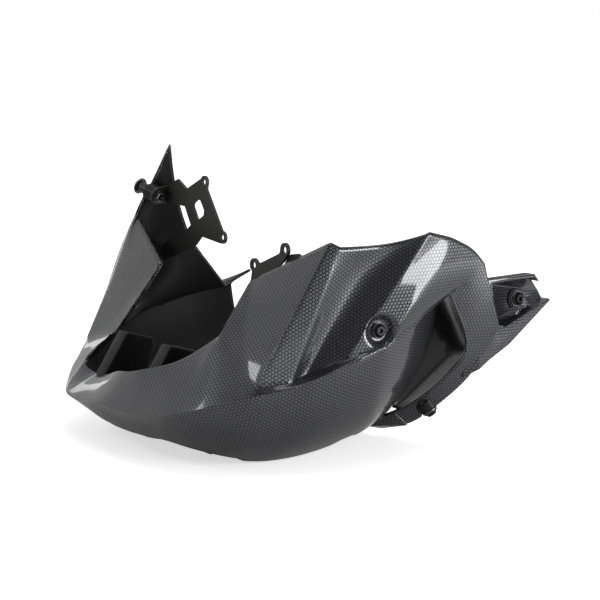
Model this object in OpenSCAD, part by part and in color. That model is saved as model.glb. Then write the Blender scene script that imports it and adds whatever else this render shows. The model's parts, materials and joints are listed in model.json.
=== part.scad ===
/* [Nose and body] */
// Distance from the origin to the front of the nose ridge
nose_reach = 107; // [100:1:114]
// Half width of the nose at its corners
nose_half_w = 98; // [92:1:104]
// Height of the nose ridge above the floor
ridge_h = 44; // [40:1:50]
// Height of the lip of the chin, under the nose ridge
chin_h = 20; // [16:1:24]
// Half width of the body at the side vent
body_half_w = 200; // [194:1:208]
// Half width of the flat bottom
bottom_half_w = 122; // [114:1:128]
// Distance from the origin to the rear end of the bottom
bottom_reach = 156; // [150:1:164]
// How much higher the nose ridge is on the left corner than in the middle
nose_tilt = 5; // [3:0.5:6]
// Thickness of the moulded wall
wall = 3.2; // [2.6:0.1:4]

/* [Intake and flanges] */
// Height of the intake's lip at the centre of the nose
lip_h = 76; // [72:1:82]
// Half width of a front flange at its foot
foot_half_w = 166; // [160:1:172]
// Half width of a front flange at its apex
apex_half_w = 179; // [172:1:186]
// Height of the apex of both front flanges
apex_h = 208; // [200:1:216]
// Half width of the intake between the inner corners of the flanges
corner_half_w = 85; // [78:1:92]
// Height of the inner corners of the flanges
corner_h = 166; // [160:1:172]
// Width of an intake vane, measured over both walls
vane_w = 19; // [15:1:23]
// Height of the top of the front intake vane
vane_h = 104; // [98:1:108]

/* [Wings and tail] */
// Height of the peak of the right wing
horn_h = 287; // [278:1:296]
// Height of the top edge of the left wing behind its flange
wing_h = 203; // [198:1:207]
// Height of the hump on the top edge of the left wing
hump_h = 215; // [210:1:222]
// Depth of the scoop between the left flange and the fold
scoop = 11; // [6:1:14]
// How far the right wing swells out behind its flange
wing_swell = 20; // [14:1:24]
// Depth of the tail channel
channel_depth = 11; // [8:1:13]
// Distance from the origin to the tip of the tail
tail_reach = 292; // [284:1:300]

/* [Brackets] */
// Thickness of the bracket plate
plate_t = 3; // [2.5:0.5:4]
// Diameter of the holes in the bracket ears
ear_bore = 7.2; // [6.4:0.2:8.4]
// Distance between the two ears of the right bracket
ear_spacing = 66; // [60:1:72]
// Distance between the two ears of the left bracket
left_spacing = 55; // [50:1:60]
// How far inside the body's half width the left bracket's plate ends and its strap begins
leg_len = 34; // [32:1:36]
// Width of the left bracket's strap
strap_w = 14; // [11:1:16]

/* [Fasteners] */
// Nominal diameter of the screws
screw_d = 6; // [5:0.5:6.5]
// Diameter of a flanged button head
head_d = 14; // [12:0.5:16]
// Outer diameter of the large washers
washer_d = 18; // [16:0.5:20]

/* [Hidden] */
$fn = 40;
clear = 0.3;

mid_x = 2.6;
mid_y = (tail_reach - nose_reach) / 2;
sag = 0.1;

// Puts the origin under the middle of the whole part, with the lowest point of the belly on the floor.
module centred() {
  translate([-mid_x, -mid_y, sag]) children();
}

// Small helpers
function lerp(a, b, t) = a + (b - a) * t;
function unit(v) = v / max(norm(v), 1e-9);
function flip(p) = [-p[0], p[1], p[2]];
function bez(a, b, c, t) = (1 - t) * (1 - t) * a + 2 * t * (1 - t) * b + t * t * c;
function spline(p0, p1, p2, p3, t) = 0.5 * (2 * p1 + (p2 - p0) * t
  + (2 * p0 - 5 * p1 + 4 * p2 - p3) * t * t + (3 * p1 - p0 - 3 * p2 + p3) * t * t * t);
// A point between stations i and i + 1 of a run. The run is straight up to a break, and the first station mirrors.
function along(run, i, t, breaks) = let(
  p1 = run[i], p2 = run[i + 1],
  p0 = breaks[i] ? 2 * p1 - p2 : i == 0 ? flip(p2) : run[i - 1],
  p3 = i + 2 >= len(run) || breaks[i + 1] ? 2 * p2 - p1 : run[i + 2]
) spline(p0, p1, p2, p3, t);

// Stations of the body from the centre of the nose to the vent, all for the +X half.
// 4 is the foot of the flange on the intake, 5 its inner corner, 6 its outer fold, 10 the fold of the wing, 11 the vent.
steps = [3, 3, 2, 2, 3, 4, 2, 2, 2, 2, 3];
breaks = [0, 0, 0, 0, 1, 1, 1, 1, 0, 0, 1, 1];
smooth = [0, 0, 0, 0, 0, 0, 0, 0, 0, 0, 0, 0];
keel = [for (y = [-55, -50, -42, -33, -22, -12, -2, 12, 30, 48, 76, 106]) [0, y, max(0, (-y - 5) * 0.16)]];
tilt = [0, 0.5, 1, 1, 0.9, 0.7, 0.2, 0, 0, 0, 0, 0];
ridge = [[0, -nose_reach, ridge_h + 1], [50, -nose_reach + 1, ridge_h - 1], [nose_half_w, -nose_reach + 7, ridge_h + 2],
  [nose_half_w + 24, -86, ridge_h + 9], [foot_half_w - 24, -72, ridge_h + 17], [foot_half_w - 9, -57, ridge_h + 24],
  [foot_half_w + 4, -41, ridge_h + 31], [body_half_w - 20, -11, ridge_h + 37], [body_half_w - 14, 2, ridge_h + 41],
  [body_half_w - 10, 14, ridge_h + 45], [body_half_w - 4, 36, ridge_h + 55], [body_half_w, 75, ridge_h + 67]];
chine = [[0, -nose_reach + 19, chin_h], [40, -nose_reach + 21, chin_h], [72, -nose_reach + 27, chin_h + 1],
  [87, -66, chin_h - 5], [bottom_half_w - 24, -52, chin_h * 0.5], [bottom_half_w - 14, -38, chin_h * 0.3],
  [bottom_half_w - 6, -22, chin_h * 0.12], [bottom_half_w - 1, -4, 0.6], [bottom_half_w, 14, 0],
  [bottom_half_w, 34, 0.4], [bottom_half_w - 4, 64, 2], [bottom_half_w - 12, 98, 5]];
function side_ridge(side) = [for (i = [0:11]) ridge[i] + [0, 0, side * nose_tilt * tilt[i]]];
function cheek(i) = let(c = chine[i], r = ridge[i], k = i < 3 ? 0.12 : i < 5 ? 0.3 : 0.62)
  [lerp(c[0], r[0], 0.55 + 0.45 * k), lerp(c[1], r[1], 0.5), lerp(c[2], r[2], 0.42 - 0.2 * k)];

// Free edge of the intake, the flange and the wing, and the foot of the flange, for each side.
foot_out = [foot_half_w, -41, ridge_h + 39];
corner = [corner_half_w, 5, corner_h];
apex = [apex_half_w, 29, apex_h];
left_edge = [[0, -nose_reach + 21, lip_h], [35, -nose_reach + 25, lip_h + 7], [66, -64, lip_h + 17],
  [86, -50, lip_h + 31], [104, -42, lip_h + 44], corner, apex, [apex_half_w + 4, 38, wing_h],
  [apex_half_w + 7, 64, wing_h - 1], [apex_half_w + 12, 90, wing_h + 1], [body_half_w + 6, 122, hump_h - 1],
  [body_half_w + 5, 148, hump_h - 7]];
right_edge = [[0, -nose_reach + 21, lip_h], [45, -nose_reach + 27, lip_h - 11], [84, -73, lip_h - 16],
  [114, -72, lip_h - 7], [106, -38, lip_h + 20], corner, apex, [apex_half_w - 19, 60, horn_h],
  [apex_half_w - 13, 67, horn_h - 27], [apex_half_w - 8, 78, horn_h - 68], [apex_half_w - 7, 92, apex_h - 28],
  [apex_half_w - 14, 133, corner_h - 39]];
function foot(edge, run, i) = i < 4 ? lerp(run[i], edge[i], 0.5)
  : i == 4 ? edge[4]
  : i == 5 ? lerp(edge[4], foot_out, 0.52)
  : i == 6 ? foot_out
  : i == 11 ? lerp(run[i], edge[i], 0.05)
  : run[i] + [-6, 1, 3];

// One column of the skin, from the keel up to the free edge. hollow pushes the wing panel in, and swell pushes it out.
function column(k, c, w, r, f, e, hollow, swell) = concat(
  [for (t = [0:2]) lerp(k, c, t / 3)],
  [for (t = [0:5]) bez(c, w, r, t / 6)],
  [r, lerp(r, f, 0.5)],
  [for (t = [0:7]) lerp(f, e, t / 7) + [swell * sin(180 * t / 7) - hollow * pow(cos(90 * t / 7), 0.4), 0, 0]]);
COLS = 19;
RIDGE_COL = 9;
function station(edge, run, depth, i, t) = let(
  k = along(keel, i, t, smooth), c = along(chine, i, t, smooth), r = along(run, i, t, smooth),
  w = lerp(cheek(i), cheek(i + 1), t),
  f = lerp(foot(edge, run, i), foot(edge, run, i + 1), t), e = along(edge, i, t, breaks),
  s = i + t,
  hollow = depth > 0 && s > 7 && s < 10 ? depth * sin(180 * (s - 7) / 3) : 0,
  swell = s > 10 ? 4 * (s - 10) : depth < 0 && s > 6 ? -depth * (s < 6.5 ? sin(180 * (s - 6)) : s < 8 ? 1 : max(0, cos(45 * (s - 8)))) : 0
) column(i == 0 && t == 0 ? keel[0] : k, c, w, r, f, e, hollow, swell);
function body(edge, run, depth) = concat(
  [for (i = [0:len(steps) - 1]) for (n = [0:steps[i] - 1]) station(edge, run, depth, i, n / steps[i])],
  [station(edge, run, depth, len(steps) - 1, 1)]);

// Left side panel behind the vent: vent_edge bounds the opening, and rim_edge is the outer edge down to the bottom.
vent_steps = [3, 3, 1, 1, 2, 2, 2, 2, 2];
vent_edge = [ridge[11], [body_half_w - 3, 115, ridge_h + 88], [body_half_w - 5, 156, ridge_h + 109],
  [body_half_w - 5, 169, ridge_h + 87], [body_half_w - 6, 177, ridge_h + 72], [body_half_w - 10, 183, ridge_h + 50],
  [body_half_w - 25, 170, ridge_h + 26], [body_half_w - 45, 157, ridge_h + 4], [128, 147, ridge_h - 14], [104, 137, 18]];
rim_edge = [left_edge[11], [body_half_w + 5, 174, hump_h - 19], [body_half_w + 5, 190, hump_h - 34],
  [body_half_w + 5, 195, hump_h - 52], [body_half_w + 5, 202, hump_h - 70], [body_half_w + 2, 213, hump_h - 98],
  [body_half_w - 17, 197, 72], [body_half_w - 37, 176, 43], [134, 163, 18], [104, 157, 9]];
vent_breaks = [1, 0, 1, 0, 0, 1, 0, 0, 0, 1];
function panel_row(i, t) = let(p = along(vent_edge, i, t, vent_breaks), q = along(rim_edge, i, t, vent_breaks),
  b = max(0, 4 - 0.8 * (i + t)))
  [for (n = [0:9]) lerp(p, q, n < 2 ? 0.025 * n : 0.05 + 0.95 * (n - 2) / 7)
    + [n < 2 ? 0 : b * sin(180 * (n - 2) / 7), 0, 0]];
panel = concat([for (i = [0:len(vent_steps) - 1]) for (n = [0:vent_steps[i] - 1]) if (i + n > 0) panel_row(i, n / vent_steps[i])],
  [panel_row(len(vent_steps) - 1, 1)]);

// Rear of the lower hull: on the left the cheek turns in behind the vent, on the right it runs on.
rear_keel = [keel[11], [0, 120, 1], [0, 134, 3], [0, bottom_reach - 8, 7]];
rear_chine = [chine[11], [bottom_half_w - 16, 116, 7], [bottom_half_w - 22, 134, 10], [bottom_half_w - 31, bottom_reach - 7, 13]];
tuck = [ridge[11], [body_half_w - 8, 113, ridge_h + 85], [body_half_w - 18, 145, ridge_h + 101], [body_half_w - 34, 172, ridge_h + 105]];
right_ridge = [ridge[11], [body_half_w - 2, 105, ridge_h + 74], [body_half_w - 8, 130, ridge_h + 79], [body_half_w - 16, 152, ridge_h + 82]];
right_rear = [right_edge[11], [apex_half_w - 19, 143, corner_h - 33], [apex_half_w - 24, 150, corner_h - 27],
  [apex_half_w - 28, 157, corner_h - 22]];
function rear_cheek(c, r) = [lerp(c[0], r[0], 0.85), lerp(c[1], r[1], 0.5), lerp(c[2], r[2], 0.3)];
function rear_lower(top, i, t) = let(k = along(rear_keel, i, t, [1, 0, 0, 1]), c = along(rear_chine, i, t, [1, 0, 0, 1]),
  r = along(top, i, t, [1, 0, 0, 1]),
  w = t == 0 && i == 0 ? cheek(11) : lerp(i == 0 ? cheek(11) : rear_cheek(rear_chine[i], top[i]), rear_cheek(rear_chine[i + 1], top[i + 1]), t))
  concat([for (n = [0:2]) lerp(k, c, n / 3)], [for (n = [0:5]) bez(c, w, r, n / 6)], [r]);
function rear_upper(i, t) = let(r = along(right_ridge, i, t, [1, 0, 0, 1]), e = along(right_rear, i, t, [1, 0, 0, 1]))
  concat([lerp(r, e, 0.025)], [for (n = [0:7]) lerp(r, e, 0.05 + 0.95 * n / 7) + [4 * sin(180 * n / 7), 0, 0]]);
rear_at = [for (i = [0:2]) for (n = [1:2]) [i, n / 2]];
left_rear_rows = [for (s = rear_at) rear_lower(tuck, s[0], s[1])];
right_rear_rows = [for (s = rear_at) concat(rear_lower(right_ridge, s[0], s[1]), rear_upper(s[0], s[1]))];

// Turns sheets of points into one closed wall: equal points are welded, and the inner skin is set in along the normals.
function key(p) = round(p[0] * 50) * 1e9 + round(p[1] * 50 + 20000) * 4e4 + round(p[2] * 50 + 2000);
function flat(rows) = [for (r = rows) for (p = r) p];
function starts(sheets, n = 0, at = 0) = n == len(sheets) ? []
  : concat([at], starts(sheets, n + 1, at + len(sheets[n]) * len(sheets[n][0])));
module walls(sheets, turns, t) {
  pts = [for (s = sheets) for (p = flat(s)) p];
  keys = [for (p = pts) key(p)];
  first = search(keys, keys);
  at = starts(sheets);
  quads = [for (n = [0:len(sheets) - 1]) let(s = sheets[n], w = len(s[0]))
    for (i = [0:len(s) - 2]) for (j = [0:w - 2])
      let(a = first[at[n] + i * w + j], b = first[at[n] + (i + 1) * w + j],
          c = first[at[n] + (i + 1) * w + j + 1], d = first[at[n] + i * w + j + 1])
      turns[n] ? [a, d, c, b] : [a, b, c, d]];
  tris = [for (q = quads) for (f = [[q[0], q[1], q[2]], [q[0], q[2], q[3]]])
    if (f[0] != f[1] && f[1] != f[2] && f[0] != f[2]) f];
  face_n = [for (f = tris) cross(pts[f[1]] - pts[f[0]], pts[f[2]] - pts[f[0]])];
  corners = [for (f = tris) for (v = f) v];
  used = search([for (i = [0:len(pts) - 1]) i], corners, 0);
  normals = [for (u = used) len(u) == 0 ? [0, 0, 1] : unit([for (k = [0:2]) sum([for (m = u) unit(face_n[floor(m / 3)])[k]])])];
  count = len(pts);
  inner = [for (i = [0:count - 1]) let(p = pts[i] - t * normals[i]) abs(pts[i][0]) < 1e-6 ? [0, p[1], p[2]] : p];
  edge_id = [for (f = tris) for (k = [0:2]) f[k] * count + f[(k + 1) % 3]];
  back_id = [for (f = tris) for (k = [0:2]) f[(k + 1) % 3] * count + f[k]];
  mate = search(back_id, edge_id, 0);
  rims = [for (m = [0:len(edge_id) - 1]) if (len(mate[m]) == 0) let(f = tris[floor(m / 3)], a = f[m % 3], b = f[(m + 1) % 3]) [a, b]];
  polyhedron(points = concat(pts, inner), faces = concat(
    [for (f = tris) [f[0], f[2], f[1]]],
    [for (f = tris) [f[0] + count, f[1] + count, f[2] + count]],
    [for (r = rims) [r[0], r[1], r[1] + count]],
    [for (r = rims) [r[0], r[1] + count, r[0] + count]]), convexity = 12);
}
function sum(v, i = 0) = i == len(v) ? 0 : v[i] + sum(v, i + 1);
left_rows = body(left_edge, side_ridge(1), scoop);
right_rows = body(right_edge, side_ridge(-1.2), -wing_swell);
last_left = left_rows[len(left_rows) - 1];
last_right = right_rows[len(right_rows) - 1];
left_panel = concat([[for (n = [RIDGE_COL:COLS - 1]) last_left[n]]], panel);
left_lower = concat([[for (n = [0:RIDGE_COL]) last_left[n]]], left_rear_rows);
right_rear_sheet = concat([last_right], right_rear_rows);
function mirrored(rows) = [for (r = rows) [for (p = r) flip(p)]];

// A bolt's frame: p is where its axis meets the outer face, n points out of the shell, and u lies in the face towards the rear.
function frame_of(p, n) = let(z = unit(n), y0 = [0, 1, 0] - z[1] * z, u = unit(y0)) [p, u, cross(z, u), z];
function at_cell(rows, i, j) = let(a = rows[i][j], b = rows[i + 1][j], c = rows[i + 1][j + 1], d = rows[i][j + 1])
  frame_of((a + b + c + d) / 4, cross(c - a, d - b));
function flip_frame(f) = frame_of(flip(f[0]), flip(f[3]));
module place(f) {
  multmatrix([[f[1][0], f[2][0], f[3][0], f[0][0]], [f[1][1], f[2][1], f[3][1], f[0][1]],
    [f[1][2], f[2][2], f[3][2], f[0][2]], [0, 0, 0, 1]]) children();
}
function in_frame(f, v) = f[0] + v[0] * f[1] + v[1] * f[2] + v[2] * f[3];

boss_r = washer_d / 2 + 1;
boss_t = wall + 3.6;
bore_r = screw_d / 2 + clear;
washer_t = 1.6;
head_h = 4.2;
nut_h = 5;
spacer_t = 13;
recess = 7;
wing_back = boss_t + 5.2;
low_back = boss_t + 8.2;
dimple_back = recess + 6.2;
wing_bolt = frame_of([3.5 - apex_half_w, 42, apex_h + 27], [-0.89, -0.27, 0.36]);
low_bolt = frame_of([-apex_half_w - 16, 44, corner_h + 4], [-0.97, 0.1, 0.2]);
dimple = frame_of([body_half_w - 1.5, 72.5, ridge_h + 82.5], [1, -0.1, 0.03]);
tail_bolt = frame_of([body_half_w - 21, 254, ridge_h + 96], [1, 0, 0]);
foot_bolt = frame_of([body_half_w - 49, 170, ridge_h - 11], [0.38, 0.42, -0.82]);

// Fasteners: the screw's seat is the underside of its head.
module screw(seat, reach) {
  difference() {
    union() {
      translate([0, 0, seat]) cylinder(h = head_h * 0.35, r = head_d / 2);
      translate([0, 0, seat + head_h * 0.35]) cylinder(h = head_h * 0.65, r1 = head_d * 0.42, r2 = head_d * 0.3);
      translate([0, 0, seat - reach]) cylinder(h = reach + 0.5, r = screw_d / 2);
    }
    translate([0, 0, seat + head_h * 0.45]) cylinder(h = head_h, r = screw_d * 0.36, $fn = 6);
  }
}
module ring(z, t, outer, inner) {
  translate([0, 0, z]) difference() {
    cylinder(h = t, r = outer);
    translate([0, 0, -1]) cylinder(h = t + 2, r = inner);
  }
}
module flange_nut(z) {
  translate([0, 0, z]) difference() {
    union() {
      cylinder(h = nut_h, r = screw_d * 0.95, $fn = 6);
      translate([0, 0, nut_h - 1.4]) cylinder(h = 1.4, r = screw_d * 1.15);
    }
    translate([0, 0, -1]) cylinder(h = nut_h + 2, r = bore_r);
  }
}
module boss(f, back) {
  place(f) hull() {
    translate([0, 0, -back]) cylinder(h = 1, r = boss_r - 0.6);
    translate([0, 0, -back + 2]) cylinder(h = back - 2, r = boss_r);
  }
}
module hole(f, r = bore_r) {
  place(f) translate([0, 0, -40]) cylinder(h = 60, r = r);
}

// Tail: an arm with a channel that is open outwards and to the rear.
tail_x = body_half_w - 24;
tail_top = [[206, ridge_h + 118], [tail_reach - 22, ridge_h + 120], [tail_reach - 6, ridge_h + 101], [tail_reach, ridge_h + 92]];
tail_low = [[238, ridge_h + 53], [212, ridge_h + 40], [186, ridge_h + 24]];
channel = [[214, ridge_h + 114.5], [tail_reach - 23, ridge_h + 116.5], [tail_reach + 3, ridge_h + 101], [tail_reach + 3, ridge_h + 96],
  [232, ridge_h + 70.5], [219, ridge_h + 76]];
module side_plate(x, t, outline) {
  translate([x, 0, 0]) multmatrix([[0, 0, 1, 0], [1, 0, 0, 0], [0, 1, 0, 0], [0, 0, 0, 1]])
    linear_extrude(height = t) polygon(outline);
}
module tail_arm() {
  difference() {
    side_plate(tail_x, channel_depth + wall, concat(tail_top, tail_low, [[192, ridge_h + 58], [200, ridge_h + 90]]));
    side_plate(tail_x + wall, channel_depth + wall, channel);
    side_plate(tail_x - 1, channel_depth + 1 - wall * 0.2, [[tail_reach - 26, ridge_h + 85], [237, ridge_h + 58],
      [212, ridge_h + 45], [200, ridge_h + 40], [202, ridge_h + 53], [226, ridge_h + 66]]);
  }
}

// A rounded block between side planes, from the outline of its corners.
module rounded_plate(x, t, r, outline) {
  hull() for (p = outline) translate([x, p[0], p[1]]) rotate([0, 90, 0]) cylinder(h = t, r = r, $fn = 16);
}

// Intake vane: a hollow rib that rises from the floor behind the lip and levels off towards the rear.
module vane(x, y, front_h, rear_h, drop) {
  top = vane_h - drop;
  difference() {
    rounded_plate(x, vane_w, 3, [[y - 21, front_h], [y - 25, top - 40], [y, top - 3], [y + 27, top - 11],
      [y + 27, top - 15], [y - 1, rear_h]]);
    rounded_plate(x + 2.4, vane_w - 4.8, 1, [[y - 19, front_h + 1], [y - 23, top - 40], [y, top - 4], [y + 22, top - 10],
      [y + 34, top - 16], [y + 14, rear_h]]);
  }
}

// Tab under the strut: it joins the strut's lower end to the bottom of the hull.
module strut_tab() {
  hull() {
    translate([92, 140, 12]) sphere(r = 2.6, $fn = 16);
    translate([97, 153, 9]) sphere(r = 2.6, $fn = 16);
    translate([126, 160, 16]) sphere(r = 2.2, $fn = 16);
    translate([124, 148, 27]) sphere(r = 2.2, $fn = 16);
  }
}

module belly_shell() {
  color("dimgray") centred() difference() {
    union() {
      walls([left_rows, left_panel, left_lower, mirrored(right_rows), mirrored(right_rear_sheet)],
        [false, false, false, true, true], wall);
      boss(wing_bolt, wing_back);
      boss(low_bolt, low_back);
      place(dimple) hull() {
        translate([0, 0, -dimple_back]) cylinder(h = 1, r = boss_r);
        translate([0, 0, -1]) cylinder(h = 1, r = boss_r + 6);
      }
      boss(foot_bolt, boss_t + 3);
      tail_arm();
      vane(-70, -52, 23, 16, 0);
      vane(14, -50, 19.3, 14.3, 2);
      strut_tab();
    }
    hole(wing_bolt);
    place(wing_bolt) cylinder(h = 8, r = boss_r - 1);
    hole(low_bolt);
    place(low_bolt) cylinder(h = 8, r = boss_r - 0.5);
    hole(dimple);
    place(dimple) translate([0, 0, -recess]) cylinder(h = recess + 8, r1 = boss_r - 1, r2 = boss_r + 7);
    hole(foot_bolt);
    place(foot_bolt) cylinder(h = 9, r = boss_r - 1);
    place(foot_bolt) translate([0, 0, -boss_t - 13]) cylinder(h = 10, r = boss_r - 1);
    hole(tail_bolt, bore_r + 2);
  }
}

// Brackets: flat plates across the pan with two ears, windows and arms that end in bent feet.
right_y = 60;
left_y = 22;
ear_r = ear_bore / 2 + 3;
right_ear = [-89, apex_h + 40];
right_turn = -57.65;
left_ear = [116, apex_h - 12];
left_turn = -160;
function turned(o, a, p) = [o[0] + p[0] * cos(a) + p[1] * sin(a), o[1] + p[0] * sin(a) - p[1] * cos(a)];
function turned_out(o, a, p) = [o[0] + p[0] * cos(a) - p[1] * sin(a), o[1] + p[0] * sin(a) + p[1] * cos(a)];
function cross_at(f, y, depth, side) = let(q = in_frame(f, [0, side, depth]), k = (y - q[1]) / f[1][1]) [q[0] + k * f[1][0], q[2] + k * f[1][2]];
module cross_plate(y, t) {
  translate([0, y + t, 0]) rotate([90, 0, 0]) linear_extrude(height = t) children();
}
module foot(f, depth, len) {
  place(f) translate([0, 0, -depth - plate_t]) linear_extrude(height = plate_t) {
    circle(r = boss_r);
    translate([0, -boss_r]) square([len, 2 * boss_r]);
  }
}
// A straight strip of the strap, seen from above, with round ends.
module bar(a, b) {
  u = unit([b[0] - a[0], b[1] - a[1]]);
  v = [-u[1], u[0]] * plate_t / 2;
  polygon([[a[0], a[1]] + v, [a[0], a[1]] - v, [b[0], b[1]] - v, [b[0], b[1]] + v]);
  translate([a[0], a[1]]) circle(r = plate_t / 2);
  translate([b[0], b[1]]) circle(r = plate_t / 2);
}
module right_bracket() {
  e2 = turned(right_ear, right_turn, [ear_spacing, 0]);
  l = ear_spacing;
  a1 = cross_at(wing_bolt, right_y, -wing_back - plate_t / 2, boss_r);
  a2 = cross_at(wing_bolt, right_y, -wing_back - plate_t / 2, -boss_r);
  b1 = cross_at(low_bolt, right_y, -low_back - plate_t / 2, boss_r);
  b2 = cross_at(low_bolt, right_y, -low_back - plate_t / 2, -boss_r);
  color("gray") centred() difference() {
    union() {
      cross_plate(right_y, plate_t) {
        difference() {
          union() {
            translate(right_ear) circle(r = ear_r);
            translate(e2) circle(r = ear_r);
            polygon(concat([for (p = [[-6, 3], [-12, 36], [-30, 46]]) turned(right_ear, right_turn, p)],
              [a2[1] > a1[1] ? a2 : a1, a2[1] > a1[1] ? a1 : a2],
              [for (p = [[-6, 60], [2, 49], [25, 49], [25, 61]]) turned(right_ear, right_turn, p)],
              [b2[1] > b1[1] ? b2 : b1, b2[1] > b1[1] ? b1 : b2],
              [for (p = [[45, 66], [47, 52], [45, 37], [l + 4, 6], [l - 6, -3], [9, 0], [2, -6]]) turned(right_ear, right_turn, p)]));
          }
          polygon([for (p = [[10, 34], [8, 31], [9, 20], [13, 17], [25, 16], [29, 20], [28, 31], [25, 34]]) turned(right_ear, right_turn, p)]);
        }
      }
      foot(wing_bolt, wing_back, leg_len - 17);
      foot(low_bolt, low_back, leg_len - 15);
    }
    for (e = [right_ear, e2]) translate([e[0], right_y - 1, e[1]]) rotate([-90, 0, 0]) cylinder(h = plate_t + 2, r = ear_bore / 2);
    hole(wing_bolt);
    hole(low_bolt);
  }
}
module left_bracket() {
  l = left_spacing;
  e2 = turned_out(left_ear, left_turn, [l, 0]);
  half = strap_w / 2;
  seat = in_frame(dimple, [0, 0, -dimple_back - plate_t / 2]);
  end = [body_half_w - leg_len - 2, left_y + plate_t / 2, seat[2]];
  bend = [lerp(end[0], seat[0], 0.55), lerp(end[1], seat[1], 0.55), seat[2]];
  color("gray") centred() difference() {
    union() {
      cross_plate(left_y, plate_t) difference() {
        union() {
          translate(left_ear) circle(r = ear_r);
          translate(e2) circle(r = ear_r);
          polygon(concat([for (p = [[-5, 5], [3, -5], [9, 1], [l - 9, 1], [l - 3, -5], [l + 5, 5], [l + 16, 22], [l + 12, 36]]) turned_out(left_ear, left_turn, p)],
            [[78, end[2] - half - 6], [end[0], end[2] - half], [end[0], end[2] + half], [150, end[2] + half + 6]],
            [for (p = [[18, 34], [24, 22], [24, 14], [6, 10]]) turned_out(left_ear, left_turn, p)]));
        }
        polygon([for (p = [[36, 12], [52, 12], [54, 17], [38, 18]]) turned_out(left_ear, left_turn, p)]);
        polygon([for (p = [[33, 22], [44, 22], [46, 30], [36, 31]]) turned_out(left_ear, left_turn, p)]);
      }
      place(dimple) translate([0, 0, -dimple_back - plate_t]) cylinder(h = plate_t, r = boss_r);
      translate([0, 0, end[2] - half]) linear_extrude(height = strap_w) {
        bar(end, bend);
        bar(bend, in_frame(dimple, [-boss_r * 0.85, 0, -dimple_back - plate_t / 2]));
      }
    }
    for (e = [left_ear, e2]) translate([e[0], left_y - 1, e[1]]) rotate([-90, 0, 0]) cylinder(h = plate_t + 2, r = ear_bore / 2);
    hole(dimple);
  }
}
// Rubber pad on the rear face of the left bracket, beside its outer ear.
module left_bracket_pad() {
  a = turned_out(left_ear, left_turn, [-4, 13]);
  b = turned_out(left_ear, left_turn, [20, 26]);
  color("black") centred() cross_plate(left_y + plate_t, 9) hull() {
    translate(a) circle(r = 7.5);
    translate(b) circle(r = 7.5);
  }
}

module right_upper_screw() { color("black") centred() place(wing_bolt) screw(spacer_t + washer_t, spacer_t + washer_t + wing_back + plate_t + nut_h + 3); }
module right_upper_washer() { color("silver") centred() place(wing_bolt) ring(spacer_t, washer_t, washer_d / 2, bore_r); }
module right_upper_spacer() { color("white") centred() place(wing_bolt) ring(0, spacer_t, screw_d, bore_r); }
module right_upper_nut() { color("silver") centred() place(wing_bolt) flange_nut(-wing_back - plate_t - nut_h); }
module right_lower_screw() { color("black") centred() place(low_bolt) screw(washer_t, washer_t + low_back + plate_t + nut_h + 3); }
module right_lower_washer() { color("silver") centred() place(low_bolt) ring(0, washer_t, washer_d / 2, bore_r); }
module right_lower_nut() { color("silver") centred() place(low_bolt) flange_nut(-low_back - plate_t - nut_h); }
module left_screw() { color("black") centred() place(dimple) screw(-recess + washer_t, washer_t + dimple_back - recess + plate_t + nut_h + 3); }
module left_washer() { color("silver") centred() place(dimple) ring(-recess, washer_t, head_d / 2 + 0.6, bore_r); }
module left_nut() { color("silver") centred() place(dimple) flange_nut(-dimple_back - plate_t - nut_h); }
tail_seat = tail_x + wall - tail_bolt[0][0];
module tail_grommet() {
  color("black") centred() place(tail_bolt) {
    ring(tail_seat, 2.4, washer_d / 2 + 1, bore_r);
    ring(tail_seat - wall - 2.4, 2.4, washer_d / 2, bore_r);
    ring(tail_seat - wall - 1, wall + 2, bore_r + 2 - 0.1, bore_r);
  }
}
module tail_washer() { color("silver") centred() place(tail_bolt) ring(tail_seat + 2.4, washer_t, washer_d / 2 - 1, bore_r); }
module tail_screw() { color("black") centred() place(tail_bolt) screw(tail_seat + 2.4 + washer_t, 2.4 + washer_t + wall + 2.4 + nut_h + 3); }
module tail_nut() { color("silver") centred() place(tail_bolt) flange_nut(tail_seat - wall - 2.4 - nut_h); }
module bottom_screw() { color("black") centred() place(foot_bolt) screw(washer_t, washer_t + boss_t + 3 + nut_h + 2); }
module bottom_washer() { color("silver") centred() place(foot_bolt) ring(0, washer_t, washer_d / 2 - 1, bore_r); }
module bottom_nut() { color("silver") centred() place(foot_bolt) flange_nut(-boss_t - 3 - nut_h); }

belly_shell();
right_bracket();
left_bracket();
left_bracket_pad();
right_upper_screw();
right_upper_washer();
right_upper_spacer();
right_upper_nut();
right_lower_screw();
right_lower_washer();
right_lower_nut();
left_screw();
left_washer();
left_nut();
tail_screw();
tail_washer();
tail_grommet();
tail_nut();
bottom_screw();
bottom_washer();
bottom_nut();
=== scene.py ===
import json
import math

import bmesh
import bpy
from bpy.props import FloatProperty, FloatVectorProperty, PointerProperty
from mathutils import Matrix, Vector


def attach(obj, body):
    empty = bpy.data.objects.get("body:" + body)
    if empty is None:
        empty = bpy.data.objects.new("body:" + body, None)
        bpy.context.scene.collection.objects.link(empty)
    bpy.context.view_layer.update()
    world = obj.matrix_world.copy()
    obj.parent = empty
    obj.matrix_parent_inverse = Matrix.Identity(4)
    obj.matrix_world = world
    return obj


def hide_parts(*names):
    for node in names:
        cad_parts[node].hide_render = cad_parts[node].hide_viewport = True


bl_info = {
    "name": "Motorcycle Belly Pan",
    "version": (1, 0, 0),
    "blender": (4, 5, 0),
    "location": "View3D > Sidebar > Belly Pan",
    "description": "Builds the moulded shell, the fittings and the studio of a motorcycle belly pan",
    "category": "Object",
}

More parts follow.
